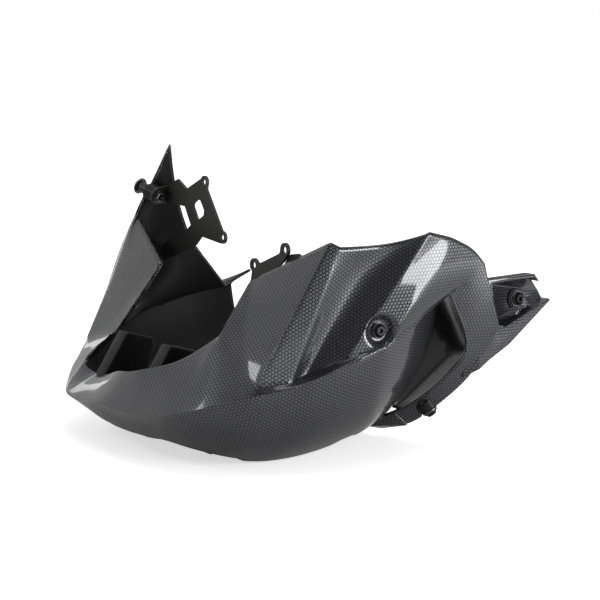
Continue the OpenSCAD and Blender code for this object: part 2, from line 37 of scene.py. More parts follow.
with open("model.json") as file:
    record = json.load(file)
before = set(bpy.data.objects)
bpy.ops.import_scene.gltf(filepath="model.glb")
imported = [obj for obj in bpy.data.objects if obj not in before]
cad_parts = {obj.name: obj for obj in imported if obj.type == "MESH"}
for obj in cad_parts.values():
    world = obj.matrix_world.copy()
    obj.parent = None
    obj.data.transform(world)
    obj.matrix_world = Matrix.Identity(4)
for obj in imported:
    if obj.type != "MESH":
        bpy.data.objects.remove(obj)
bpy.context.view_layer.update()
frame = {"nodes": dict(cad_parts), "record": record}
CENTRE = Vector((2.6, 92.5, -0.1))


# Sizes and colours
class PanSizes(bpy.types.PropertyGroup):
    """Sizes of the dressed shell, in millimetres"""
    wall: FloatProperty(name="Wall", description="Thickness of the moulded wall",
                        default=3.2, min=2.0, max=4.0)
    scoop: FloatProperty(name="Scoop", description="Depth of the scoop in the left wing",
                         default=11.0, min=6.0, max=14.0)
    swell: FloatProperty(name="Swell", description="How far the right wing swells out",
                         default=20.0, min=14.0, max=24.0)
    recess: FloatProperty(name="Recess", description="Depth of the dimple around the left screw",
                          default=7.0, min=4.0, max=9.0)
    weave: FloatProperty(name="Weave", description="Distance between two tows of the carbon look",
                         default=3.6, min=1.5, max=8.0)
    edge: FloatProperty(name="Edge", description="Radius on the edges of plates and blocks",
                        default=0.6, min=0.2, max=1.5)


class PanColours(bpy.types.PropertyGroup):
    """Colours of the pan's finishes"""
    tow: FloatVectorProperty(name="Tow", description="Bright tow of the weave",
                             subtype="COLOR", size=3,
                             default=(0.095, 0.096, 0.103), min=0.0, max=1.0)
    resin: FloatVectorProperty(name="Resin", description="Dark ground between the tows",
                               subtype="COLOR", size=3,
                               default=(0.004, 0.004, 0.005), min=0.0, max=1.0)
    inside: FloatVectorProperty(name="Inside", description="Black inner skin",
                                subtype="COLOR", size=3,
                                default=(0.006, 0.006, 0.006), min=0.0, max=1.0)
    bracket: FloatVectorProperty(name="Bracket", description="Powder coat of the brackets",
                                 subtype="COLOR", size=3,
                                 default=(0.045, 0.044, 0.043), min=0.0, max=1.0)
    screw: FloatVectorProperty(name="Screw", description="Black oxide of the screws",
                               subtype="COLOR", size=3,
                               default=(0.014, 0.014, 0.015), min=0.0, max=1.0)
    floor: FloatVectorProperty(name="Floor", description="Pale studio floor",
                               subtype="COLOR", size=3,
                               default=(0.80, 0.80, 0.80), min=0.0, max=1.0)


def place(p):
    """A point of the CAD source, in millimetres, as a point of the frame, in metres."""
    return (Vector(p) - CENTRE) / 1000.0


def key(p):
    """A point's name on a grid of a tenth of a millimetre, for finding it again."""
    return tuple(round(c * 10) for c in p)


# Curves through the stations
def lerp(a, b, t):
    return a + (b - a) * t


def mix(a, b, t):
    return [lerp(x, y, t) for x, y in zip(a, b)]


def bend(a, b, c, t):
    return [(1 - t) ** 2 * x + 2 * t * (1 - t) * y + t * t * z for x, y, z in zip(a, b, c)]


def flip(p):
    return [-p[0], p[1], p[2]]


def spline(p0, p1, p2, p3, t):
    return [0.5 * (2 * b + (c - a) * t + (2 * a - 5 * b + 4 * c - d) * t * t
                   + (3 * b - a - 3 * c + d) * t ** 3)
            for a, b, c, d in zip(p0, p1, p2, p3)]


def along(run, i, t, breaks):
    """A point between stations i and i + 1. Straight up to a break, and the first station mirrors."""
    p1 = run[i]
    p2 = run[i + 1]
    if breaks[i]:
        p0 = [2 * a - b for a, b in zip(p1, p2)]
    elif i == 0:
        p0 = flip(p2)
    else:
        p0 = run[i - 1]
    if i + 2 >= len(run) or breaks[i + 1]:
        p3 = [2 * b - a for a, b in zip(p1, p2)]
    else:
        p3 = run[i + 2]
    return spline(p0, p1, p2, p3, t)


# Stations of the body, from the centre of the nose to the side vent, in millimetres
STEPS = (3, 3, 2, 2, 3, 4, 2, 2, 2, 2, 3)
BREAKS = (0, 0, 0, 0, 1, 1, 1, 1, 0, 0, 1, 1)
SMOOTH = (0,) * 12
TILT = (0, 0.5, 1, 1, 0.9, 0.7, 0.2, 0, 0, 0, 0, 0)
KEEL = [[0, y, max(0, (-y - 5) * 0.16)] for y in (-55, -50, -42, -33, -22, -12, -2, 12, 30, 48, 76, 106)]
RIDGE = [[0, -107, 45], [50, -106, 43], [98, -100, 46], [122, -86, 53], [142, -72, 61], [157, -57, 68],
         [170, -41, 75], [180, -11, 81], [186, 2, 85], [190, 14, 89], [196, 36, 99], [200, 75, 111]]
CHINE = [[0, -88, 20], [40, -86, 20], [72, -80, 21], [87, -66, 15], [98, -52, 10], [108, -38, 6],
         [116, -22, 2.4], [121, -4, 0.6], [122, 14, 0], [122, 34, 0.4], [118, 64, 2], [110, 98, 5]]
FOOT = [166, -41, 83]
CORNER = [85, 5, 166]
APEX = [179, 29, 208]
LEFT_EDGE = [[0, -86, 76], [35, -82, 83], [66, -64, 93], [86, -50, 107], [104, -42, 120], CORNER, APEX,
             [183, 38, 203], [186, 64, 202], [191, 90, 204], [206, 122, 214], [205, 148, 208]]
RIGHT_EDGE = [[0, -86, 76], [45, -80, 65], [84, -73, 60], [114, -72, 69], [106, -38, 96], CORNER, APEX,
              [160, 60, 287], [166, 67, 260], [171, 78, 219], [172, 92, 180], [165, 133, 127]]
VENT_STEPS = (3, 3, 1, 1, 2, 2, 2, 2, 2)
VENT_BREAKS = (1, 0, 1, 0, 0, 1, 0, 0, 0, 1)
VENT_EDGE = [[200, 75, 111], [197, 115, 132], [195, 156, 153], [195, 169, 131], [194, 177, 116],
             [190, 183, 94], [175, 170, 70], [155, 157, 48], [128, 147, 30], [104, 137, 18]]
RIM_EDGE = [[205, 148, 208], [205, 174, 196], [205, 190, 181], [205, 195, 163], [205, 202, 145],
            [202, 213, 117], [183, 197, 72], [163, 176, 43], [134, 163, 18], [104, 157, 9]]
REAR_KEEL = [[0, 106, 0], [0, 120, 1], [0, 134, 3], [0, 148, 7]]
REAR_CHINE = [[110, 98, 5], [106, 116, 7], [100, 134, 10], [91, 149, 13]]
TUCK = [[200, 75, 111], [192, 113, 129], [182, 145, 145], [166, 172, 149]]
RIGHT_RIDGE = [[200, 75, 111], [198, 105, 118], [192, 130, 123], [184, 152, 126]]
RIGHT_REAR = [[165, 133, 127], [160, 143, 133], [155, 150, 139], [151, 157, 144]]
ENDS = (1, 0, 0, 1)
RETURN_EDGE = [[140, 182, 164], [134, 186, 143], [131, 188, 122], [127, 186, 99], [121, 179, 75],
               [115, 168, 52], [110, 153, 31]]
RIDGE_COL = 9
FOLD_ROW = 17

# Creases of the skin, as angles in degrees and weights from 0 to 1
CREASE_ANGLE = 27
CREASE_WEIGHT = 0.85
CORNER_ANGLE = 24
CORNER_WEIGHT = 0.9
HORN_WEIGHT = 0.3
LOW_LIP = 0.1
HORN_FROM = 0.27
NARROW_LIP = ((-122, -88, 50), (-108, -60, 80))

# Walls and bores of the smaller pieces, in millimetres
VENT_WALL = 2.6
VANE_WALL = 2.4
VANE_WIDTH = 19.0
GROMMET_BORE = 5.3


def side_ridge(side):
    return [[p[0], p[1], p[2] + side * 5 * k] for p, k in zip(RIDGE, TILT)]


def cheek(i):
    c = CHINE[i]
    r = RIDGE[i]
    k = 0.12 if i < 3 else 0.3 if i < 5 else 0.62
    return [lerp(c[0], r[0], 0.55 + 0.45 * k), lerp(c[1], r[1], 0.5), lerp(c[2], r[2], 0.42 - 0.2 * k)]


def foot(edge, run, i):
    if i < 4:
        return mix(run[i], edge[i], 0.5)
    if i == 4:
        return edge[4]
    if i == 5:
        return mix(edge[4], FOOT, 0.52)
    if i == 6:
        return FOOT
    if i == 11:
        return mix(run[i], edge[i], 0.05)
    return [run[i][0] - 6, run[i][1] + 1, run[i][2] + 3]


def station(edge, run, depth, i, t):
    """One column of the skin, from the keel over the cheek and the ridge up to the free edge."""
    k = KEEL[0] if i == 0 and t == 0 else along(KEEL, i, t, SMOOTH)
    c = along(CHINE, i, t, SMOOTH)
    r = along(run, i, t, SMOOTH)
    w = mix(cheek(i), cheek(i + 1), t)
    f = mix(foot(edge, run, i), foot(edge, run, i + 1), t)
    e = along(edge, i, t, BREAKS)
    s = i + t
    hollow = depth * math.sin(math.pi * (s - 7) / 3) if depth > 0 and 7 < s < 10 else 0
    if s > 10:
        swell = 4 * (s - 10)
    elif depth < 0 and s > 6:
        falling = max(0, math.cos(math.pi * (s - 8) / 4))
        swell = -depth * (math.sin(math.pi * (s - 6)) if s < 6.5 else 1 if s < 8 else falling)
    else:
        swell = 0
    column = [mix(k, c, n / 3) for n in range(3)]
    column += [bend(c, w, r, n / 6) for n in range(6)]
    column += [r, mix(r, f, 0.5)]
    for n in range(8):
        p = mix(f, e, n / 7)
        p[0] += swell * math.sin(math.pi * n / 7) - hollow * max(0, math.cos(math.pi * n / 14)) ** 0.4
        column.append(p)
    return column


def body(edge, run, depth):
    rows = [station(edge, run, depth, i, n / count) for i, count in enumerate(STEPS) for n in range(count)]
    return rows + [station(edge, run, depth, len(STEPS) - 1, 1)]


def panel_row(i, t):
    p = along(VENT_EDGE, i, t, VENT_BREAKS)
    q = along(RIM_EDGE, i, t, VENT_BREAKS)
    bulge = max(0, 4 - 0.8 * (i + t))
    row = []
    for n in range(10):
        m = mix(p, q, 0.025 * n if n < 2 else 0.05 + 0.95 * (n - 2) / 7)
        m[0] += 0 if n < 2 else bulge * math.sin(math.pi * (n - 2) / 7)
        row.append(m)
    return row


def rear_cheek(c, r):
    return [lerp(c[0], r[0], 0.85), lerp(c[1], r[1], 0.5), lerp(c[2], r[2], 0.3)]


def rear_lower(top, i, t):
    k = along(REAR_KEEL, i, t, ENDS)
    c = along(REAR_CHINE, i, t, ENDS)
    r = along(top, i, t, ENDS)
    start = cheek(11) if i == 0 else rear_cheek(REAR_CHINE[i], top[i])
    w = mix(start, rear_cheek(REAR_CHINE[i + 1], top[i + 1]), t)
    return [mix(k, c, n / 3) for n in range(3)] + [bend(c, w, r, n / 6) for n in range(6)] + [r]


def rear_upper(i, t):
    r = along(RIGHT_RIDGE, i, t, ENDS)
    e = along(RIGHT_REAR, i, t, ENDS)
    row = [mix(r, e, 0.025)]
    for n in range(8):
        m = mix(r, e, 0.05 + 0.95 * n / 7)
        m[0] += 4 * math.sin(math.pi * n / 7)
        row.append(m)
    return row


def vent_wall():
    """The black wall that turns in from the rear edge of the vent, as rows from the top down to the strut."""
    rows = []
    for i in range(6):
        for n in range(2):
            outer = along(VENT_EDGE, i + 2, n / 2, VENT_BREAKS)
            rows.append((outer, along(RETURN_EDGE, i, n / 2, (1, 0, 0, 0, 0, 0, 1))))
    rows.append((VENT_EDGE[8], RETURN_EDGE[6]))
    sheet = []
    for outer, inner in rows:
        row = []
        for n in range(7):
            m = mix(outer, inner, n / 6)
            m[0] -= 0.6 + 1.0 * math.sin(math.pi * n / 6)
            m[1] += 5.0 * math.sin(math.pi * n / 6)
            row.append(m)
        sheet.append(row)
    return sheet


def shell_sheets(scoop, swell):
    """The sheets of the skin, each a list of rows, and whether each belongs to the right side."""
    left = body(LEFT_EDGE, side_ridge(1), scoop)
    right = body(RIGHT_EDGE, side_ridge(-1.2), -swell)
    panel = [left[-1][RIDGE_COL:]]
    panel += [panel_row(i, n / count) for i, count in enumerate(VENT_STEPS) for n in range(count)
              if i + n > 0]
    panel.append(panel_row(len(VENT_STEPS) - 1, 1))
    rear_at = [(i, n / 2) for i in range(3) for n in (1, 2)]
    lower = [left[-1][:RIDGE_COL + 1]] + [rear_lower(TUCK, i, t) for i, t in rear_at]
    right_rear = [right[-1]] + [rear_lower(RIGHT_RIDGE, i, t) + rear_upper(i, t) for i, t in rear_at]
    return [(left, False), (panel, False), (lower, False), (right, True), (right_rear, True)]


def narrow_lip(p):
    """Whether a point is where the right lip narrows, where a crease would fold the skin over itself."""
    low, high = NARROW_LIP
    return all(a < c < b for a, c, b in zip(low, p, high))


# Mesh helpers
def new_object(name, bm, materials):
    mesh = bpy.data.meshes.new(name)
    bm.to_mesh(mesh)
    bm.free()
    obj = bpy.data.objects.new(name, mesh)
    bpy.context.scene.collection.objects.link(obj)
    for m in materials:
        mesh.materials.append(m)
    return obj


def soften(obj, degrees):
    """Smooth shading with sharp edges where the faces turn by more than this angle."""
    mesh = obj.data
    mesh.polygons.foreach_set("use_smooth", [True] * len(mesh.polygons))
    mesh.set_sharp_from_angle(angle=math.radians(degrees))
    mesh.update()


def baked(obj):
    """Applies the object's modifiers to its mesh."""
    depsgraph = bpy.context.evaluated_depsgraph_get()
    mesh = bpy.data.meshes.new_from_object(obj.evaluated_get(depsgraph))
    old = obj.data
    obj.modifiers.clear()
    obj.data = mesh
    bpy.data.meshes.remove(old)


def sheet_grid(bm, rows, mirrored):
    """Adds one sheet to bm: an operator's grid, with each of its points laid on the station curves."""
    across = len(rows[0]) - 1
    down = len(rows) - 1
    made = bmesh.ops.create_grid(bm, x_segments=across, y_segments=down, size=1.0)
    for v in made["verts"]:
        j = round((v.co.x + 1) / 2 * across)
        i = round((v.co.y + 1) / 2 * down)
        p = rows[i][j]
        v.co = place(flip(p) if mirrored else p)


def uv_in_metres(obj, boxed=False):
    """Unwraps the mesh along its seams, or from six sides where boxed, with one metre to a unit."""
    bpy.ops.object.select_all(action="DESELECT")
    obj.select_set(True)
    bpy.context.view_layer.objects.active = obj
    bpy.ops.object.mode_set(mode="EDIT")
    bpy.ops.mesh.select_all(action="SELECT")
    if boxed:
        bpy.ops.uv.cube_project(cube_size=1.0)
    else:
        bpy.ops.uv.unwrap(method="ANGLE_BASED", margin=0.002)
        bpy.ops.uv.average_islands_scale()
    bpy.ops.object.mode_set(mode="OBJECT")
    mesh = obj.data
    uv = mesh.uv_layers.active.data
    flat_area = 0.0
    for poly in mesh.polygons:
        pts = [uv[i].uv for i in poly.loop_indices]
        flat_area += abs(sum(a.x * b.y - b.x * a.y for a, b in zip(pts, pts[1:] + pts[:1]))) / 2
    true_area = sum(p.area for p in mesh.polygons)
    k = math.sqrt(true_area / max(flat_area, 1e-12))
    for loop in uv:
        loop.uv = loop.uv * k


def prism(bm, outline, x0, x1):
    """A block between two side planes: its outline of (y, z) points is a face that is extruded."""
    verts = [bm.verts.new(place((x0, y, z))) for y, z in outline]
    face = bm.faces.new(verts)
    made = bmesh.ops.extrude_face_region(bm, geom=[face])
    top = [g for g in made["geom"] if isinstance(g, bmesh.types.BMVert)]
    bmesh.ops.translate(bm, verts=top, vec=Vector(((x1 - x0) / 1000.0, 0, 0)))


# Screw places: where the axis meets the outer face, and the way it points
WING_BOLT = ((-175.5, 42, 235), (-0.89, -0.27, 0.36))
LOW_BOLT = ((-195, 44, 170), (-0.97, 0.1, 0.2))
DIMPLE = ((198.5, 72.5, 126.5), (1, -0.1, 0.03))
FOOT_BOLT = ((151, 170, 33), (0.38, 0.42, -0.82))
BOSS_R = 10.0
BORE_R = 3.3


def bolt_matrix(bolt):
    """The frame of a screw: its z axis points out of the shell."""
    at, way = bolt
    z = Vector(way).normalized()
    u = (Vector((0, 1, 0)) - z.y * z).normalized()
    v = z.cross(u)
    turn = Matrix((u, v, z)).transposed()
    return Matrix.Translation(place(at)) @ turn.to_4x4()


def press(bm, bolt, inner, outer, depth):
    """Pushes the skin in to a flat seat around a screw, with a slope between the two radii."""
    matrix = bolt_matrix(bolt)
    back = matrix.inverted()
    reach = (outer + 6) / 1000.0
    near = {v for v in bm.verts if (back @ v.co).xy.length < reach and abs((back @ v.co).z) < 0.02}
    edges = [e for e in bm.edges if e.verts[0] in near and e.verts[1] in near]
    bmesh.ops.subdivide_edges(bm, edges=edges, cuts=2, use_grid_fill=True)
    for v in bm.verts:
        p = back @ v.co
        r = p.xy.length * 1000.0
        if r > outer or abs(p.z) > 0.02:
            continue
        t = min(1.0, (outer - r) / (outer - inner))
        t = t * t * (3 - 2 * t)
        floor = -depth / 1000.0
        p.z = lerp(p.z, min(p.z, floor), t)
        v.co = matrix @ p


def ring(bm, bolt, low, high, outer, inner, round_off=0.4):
    """A turned ring on a screw's axis: its section is a face that is spun round."""
    o = round_off
    section = [(inner, low), (outer - o, low), (outer, low + o), (outer, high - o), (outer - o, high),
               (inner, high)]
    verts = [bm.verts.new((r / 1000.0, 0, z / 1000.0)) for r, z in section]
    edges = [bm.edges.new((a, b)) for a, b in zip(verts, verts[1:] + verts[:1])]
    made = bmesh.ops.spin(bm, geom=verts + edges, cent=(0, 0, 0), axis=(0, 0, 1), angle=2 * math.pi, steps=48,
                          use_merge=True)
    spun = set(verts)
    for g in made["geom_last"]:
        if isinstance(g, bmesh.types.BMVert):
            spun.add(g)
    found = set(spun)
    while spun:
        v = spun.pop()
        for e in v.link_edges:
            w = e.other_vert(v)
            if w not in found:
                found.add(w)
                spun.add(w)
    bmesh.ops.transform(bm, matrix=bolt_matrix(bolt), verts=[v for v in found if v.is_valid])


# Materials
def new_material(name):
    mat = bpy.data.materials.new(name)
    mat.use_nodes = True
    tree = mat.node_tree
    shader = tree.nodes["Principled BSDF"]
    return mat, tree, shader


def node(tree, kind, **values):
    made = tree.nodes.new(kind)
    for name, value in values.items():
        setattr(made, name, value)
    return made


def maths(tree, operation, a, b=None, c=None):
    made = node(tree, "ShaderNodeMath", operation=operation)
    for n, value in enumerate((a, b, c)):
        if value is None:
            continue
        if isinstance(value, (int, float)):
            made.inputs[n].default_value = value
        else:
            tree.links.new(value, made.inputs[n])
    return made.outputs[0]


def carbon_material(name, tow, resin, pitch):
    """Woven look under a clear coat: short rounded tows in rows offset by half, over a dark ground."""
    mat, tree, shader = new_material(name)
    link = tree.links.new
    uv = node(tree, "ShaderNodeUVMap")
    split = node(tree, "ShaderNodeSeparateXYZ")
    link(uv.outputs[0], split.inputs[0])
    u = maths(tree, "DIVIDE", split.outputs[0], pitch / 1000.0)
    v = maths(tree, "DIVIDE", split.outputs[1], pitch * 0.82 / 1000.0)
    row = maths(tree, "FLOOR", v)
    shift = maths(tree, "MULTIPLY", maths(tree, "FLOORED_MODULO", row, 2.0), 0.5)
    fu = maths(tree, "SUBTRACT", maths(tree, "FRACT", maths(tree, "ADD", u, shift)), 0.5)
    fv = maths(tree, "SUBTRACT", maths(tree, "FRACT", v), 0.5)
    au = maths(tree, "POWER", maths(tree, "ABSOLUTE", fu), 2.6)
    av = maths(tree, "POWER", maths(tree, "ABSOLUTE", fv), 2.6)
    reach = maths(tree, "POWER", maths(tree, "ADD", au, av), 1 / 2.6)
    lump = node(tree, "ShaderNodeMapRange", interpolation_type="SMOOTHSTEP")
    lump.inputs["From Min"].default_value = 0.50
    lump.inputs["From Max"].default_value = 0.30
    link(reach, lump.inputs["Value"])
    coords = node(tree, "ShaderNodeTexCoord")
    cloud = node(tree, "ShaderNodeTexNoise")
    cloud.inputs["Scale"].default_value = 26.0
    cloud.inputs["Detail"].default_value = 3.0
    link(coords.outputs["Object"], cloud.inputs["Vector"])
    worn = node(tree, "ShaderNodeMapRange")
    worn.inputs["From Min"].default_value = 0.3
    worn.inputs["From Max"].default_value = 0.7
    worn.inputs["To Min"].default_value = 0.72
    worn.inputs["To Max"].default_value = 1.0
    link(cloud.outputs[0], worn.inputs["Value"])
    amount = maths(tree, "MULTIPLY", lump.outputs["Result"], worn.outputs["Result"])
    colour = node(tree, "ShaderNodeMix", data_type="RGBA")
    colour.inputs[6].default_value = (*resin, 1)
    colour.inputs[7].default_value = (*tow, 1)
    link(amount, colour.inputs[0])
    link(colour.outputs[2], shader.inputs["Base Color"])
    rough = node(tree, "ShaderNodeMapRange")
    rough.inputs["To Min"].default_value = 0.35
    rough.inputs["To Max"].default_value = 0.36
    link(amount, rough.inputs["Value"])
    link(rough.outputs["Result"], shader.inputs["Roughness"])
    bump = node(tree, "ShaderNodeBump")
    bump.inputs["Strength"].default_value = 0.35
    bump.inputs["Distance"].default_value = 0.0004
    link(lump.outputs["Result"], bump.inputs["Height"])
    link(bump.outputs[0], shader.inputs["Normal"])
    link(maths(tree, "MULTIPLY", amount, 0.85), shader.inputs["Metallic"])
    shader.inputs["Specular IOR Level"].default_value = 0.15
    shader.inputs["Coat Weight"].default_value = 0.8
    shader.inputs["Coat Roughness"].default_value = 0.07
    return mat


def speckled_material(name, colour, rough, metal, scale, depth, coat=0.0):
    """Powder coat, black oxide, moulded plastic or rubber: a fine grain with a slight change of tone."""
    mat, tree, shader = new_material(name)
    link = tree.links.new
    coords = node(tree, "ShaderNodeTexCoord")
    grain = node(tree, "ShaderNodeTexNoise")
    grain.inputs["Scale"].default_value = scale
    grain.inputs["Detail"].default_value = 4.0
    link(coords.outputs["Object"], grain.inputs["Vector"])
    patch = node(tree, "ShaderNodeTexNoise")
    patch.inputs["Scale"].default_value = scale / 12.0
    link(coords.outputs["Object"], patch.inputs["Vector"])
    tone = node(tree, "ShaderNodeMix", data_type="RGBA")
    tone.inputs[6].default_value = (*[c * 0.75 for c in colour], 1)
    tone.inputs[7].default_value = (*[min(1.0, c * 1.25) for c in colour], 1)
    link(patch.outputs[0], tone.inputs[0])
    link(tone.outputs[2], shader.inputs["Base Color"])
    spread = node(tree, "ShaderNodeMapRange")
    spread.inputs["To Min"].default_value = max(0.05, rough - 0.12)
    spread.inputs["To Max"].default_value = min(1.0, rough + 0.12)
    link(grain.outputs[0], spread.inputs["Value"])
    link(spread.outputs["Result"], shader.inputs["Roughness"])
    bump = node(tree, "ShaderNodeBump")
    bump.inputs["Strength"].default_value = 0.3
    bump.inputs["Distance"].default_value = depth
    link(grain.outputs[0], bump.inputs["Height"])
    link(bump.outputs[0], shader.inputs["Normal"])
    shader.inputs["Metallic"].default_value = metal
    shader.inputs["Specular IOR Level"].default_value = 0.25
    shader.inputs["Coat Weight"].default_value = coat
    shader.inputs["Coat Roughness"].default_value = 0.08
    return mat


def finish_for(slot):
    """The finish of a material slot of the record, made once and kept by name."""
    name = "finish_" + slot
    if name in bpy.data.materials:
        return bpy.data.materials[name]
    sizes = bpy.context.scene.pan_sizes
    colours = bpy.context.scene.pan_colours
    if slot == "carbon_shell":
        return carbon_material(name, colours.tow, colours.resin, sizes.weave)
    if slot == "inner_skin":
        return speckled_material(name, colours.inside, 0.55, 0.0, 900.0, 0.0001, coat=0.1)
    if slot == "gloss_black":
        return speckled_material(name, colours.inside, 0.3, 0.0, 700.0, 0.00005, coat=0.35)
    if slot == "bracket_steel":
        return speckled_material(name, colours.bracket, 0.5, 0.3, 2200.0, 0.0002)
    if slot == "black_steel":
        return speckled_material(name, colours.screw, 0.32, 0.7, 1500.0, 0.0001)
    if slot == "zinc_steel":
        return speckled_material(name, (0.16, 0.16, 0.165), 0.35, 0.9, 1800.0, 0.0001)
    if slot == "spacer_aluminium":
        return speckled_material(name, (0.05, 0.05, 0.052), 0.35, 0.8, 1600.0, 0.0001)
    # Black rubber finish; on the left bracket's pad, which stands for the bracket's arm in shade, this black
    # is painted shade
    return speckled_material(name, (0.018, 0.018, 0.019), 0.75, 0.0, 1200.0, 0.0003)


def slot_of(cad_node):
    for part in frame["record"]["subparts"]:
        if part["node"] == cad_node:
            return part["material_slot"]
    raise ValueError("no slot for " + cad_node)


def dress_node(cad_node, radius, degrees=32):
    """A merged copy of a CAD node with rounded edges, which stands for it."""
    bm = bmesh.new()
    bm.from_mesh(frame["nodes"][cad_node].data)
    bmesh.ops.remove_doubles(bm, verts=bm.verts, dist=0.00002)
    bmesh.ops.dissolve_limit(bm, angle_limit=math.radians(1.0), verts=bm.verts, edges=bm.edges,
                             use_dissolve_boundaries=False)
    obj = new_object(cad_node + "_dressed", bm, [finish_for(slot_of(cad_node))])
    soften(obj, degrees)
    round_edges = obj.modifiers.new("round_edges", "BEVEL")
    round_edges.width = radius / 1000.0
    round_edges.segments = 2
    round_edges.limit_method = "ANGLE"
    round_edges.angle_limit = math.radians(40)
    round_edges.harden_normals = False
    round_edges.use_clamp_overlap = True
    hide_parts(cad_node)
    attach(obj, "root")
    return obj


# The shell
class PAN_OT_shell(bpy.types.Operator):
    """Moulded shell: nose, hull, wings and the frame of the side vent as one skin with a wall"""
    bl_idname = "pan.shell"
    bl_label = "Moulded shell"

    def execute(self, context):
        sizes = context.scene.pan_sizes
        bm = bmesh.new()
        for rows, mirrored in shell_sheets(sizes.scoop, sizes.swell):
            sheet_grid(bm, rows, mirrored)
        bmesh.ops.remove_doubles(bm, verts=bm.verts, dist=0.00003)
        bmesh.ops.dissolve_degenerate(bm, dist=0.00002, edges=bm.edges)
        bmesh.ops.recalc_face_normals(bm, faces=bm.faces)
        low = min(bm.faces, key=lambda f: f.calc_center_median().z)
        if low.normal.z > 0:
            bmesh.ops.reverse_faces(bm, faces=bm.faces)
        along_chine = set()
        along_fold = set()
        for rows, mirrored in shell_sheets(sizes.scoop, sizes.swell):
            if len(rows[0]) == 10 and len(rows) > 10:
                continue
            along_chine.update(key(flip(r[3]) if mirrored else r[3]) for r in rows)
            if len(rows) > 20:
                along_fold.update(key(flip(q) if mirrored else q) for q in rows[FOLD_ROW][RIDGE_COL:])
        crease = bm.edges.layers.float.new("crease_edge")
        pinned = bm.verts.layers.float.new("crease_vert")
        for e in bm.edges:
            if len(e.link_faces) == 2 and e.calc_face_angle(0) > math.radians(CREASE_ANGLE):
                at = (e.verts[0].co + e.verts[1].co) * 500 + CENTRE
                e[crease] = 0.0 if narrow_lip(at) else CREASE_WEIGHT
                e.seam = True
            ends = {key((v.co * 1000.0) + CENTRE) for v in e.verts}
            if ends <= along_chine or ends <= along_fold:
                e.seam = True
        for v in bm.verts:
            rim = [e for e in v.link_edges if e.is_boundary]
            if len(rim) == 2:
                a = (rim[0].other_vert(v).co - v.co).normalized()
                b = (v.co - rim[1].other_vert(v).co).normalized()
                if a.dot(b) < math.cos(math.radians(CORNER_ANGLE)) and v.co.z > LOW_LIP:
                    v[pinned] = HORN_WEIGHT if v.co.z > HORN_FROM else CORNER_WEIGHT
        obj = new_object("moulded_shell", bm, [finish_for("carbon_shell"), finish_for("inner_skin")])
        uv_in_metres(obj)
        smooth = obj.modifiers.new("smooth", "SUBSURF")
        smooth.levels = 2
        smooth.render_levels = 2
        smooth.boundary_smooth = "PRESERVE_CORNERS"
        baked(obj)
        bm = bmesh.new()
        bm.from_mesh(obj.data)
        press(bm, WING_BOLT, BOSS_R - 1, BOSS_R + 1, 0)
        press(bm, LOW_BOLT, BOSS_R - 0.5, BOSS_R + 1.5, 0)
        press(bm, FOOT_BOLT, BOSS_R - 1, BOSS_R + 1, 0)
        press(bm, DIMPLE, BOSS_R - 1, BOSS_R + 7, sizes.recess)
        bm.to_mesh(obj.data)
        bm.free()
        wall = obj.modifiers.new("wall", "SOLIDIFY")
        wall.thickness = sizes.wall / 1000.0
        wall.offset = -1.0
        wall.use_even_offset = False
        wall.material_offset = 1
        wall.material_offset_rim = 0
        soften(obj, 38)
        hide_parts("belly_shell")
        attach(obj, "root")
        return {"FINISHED"}


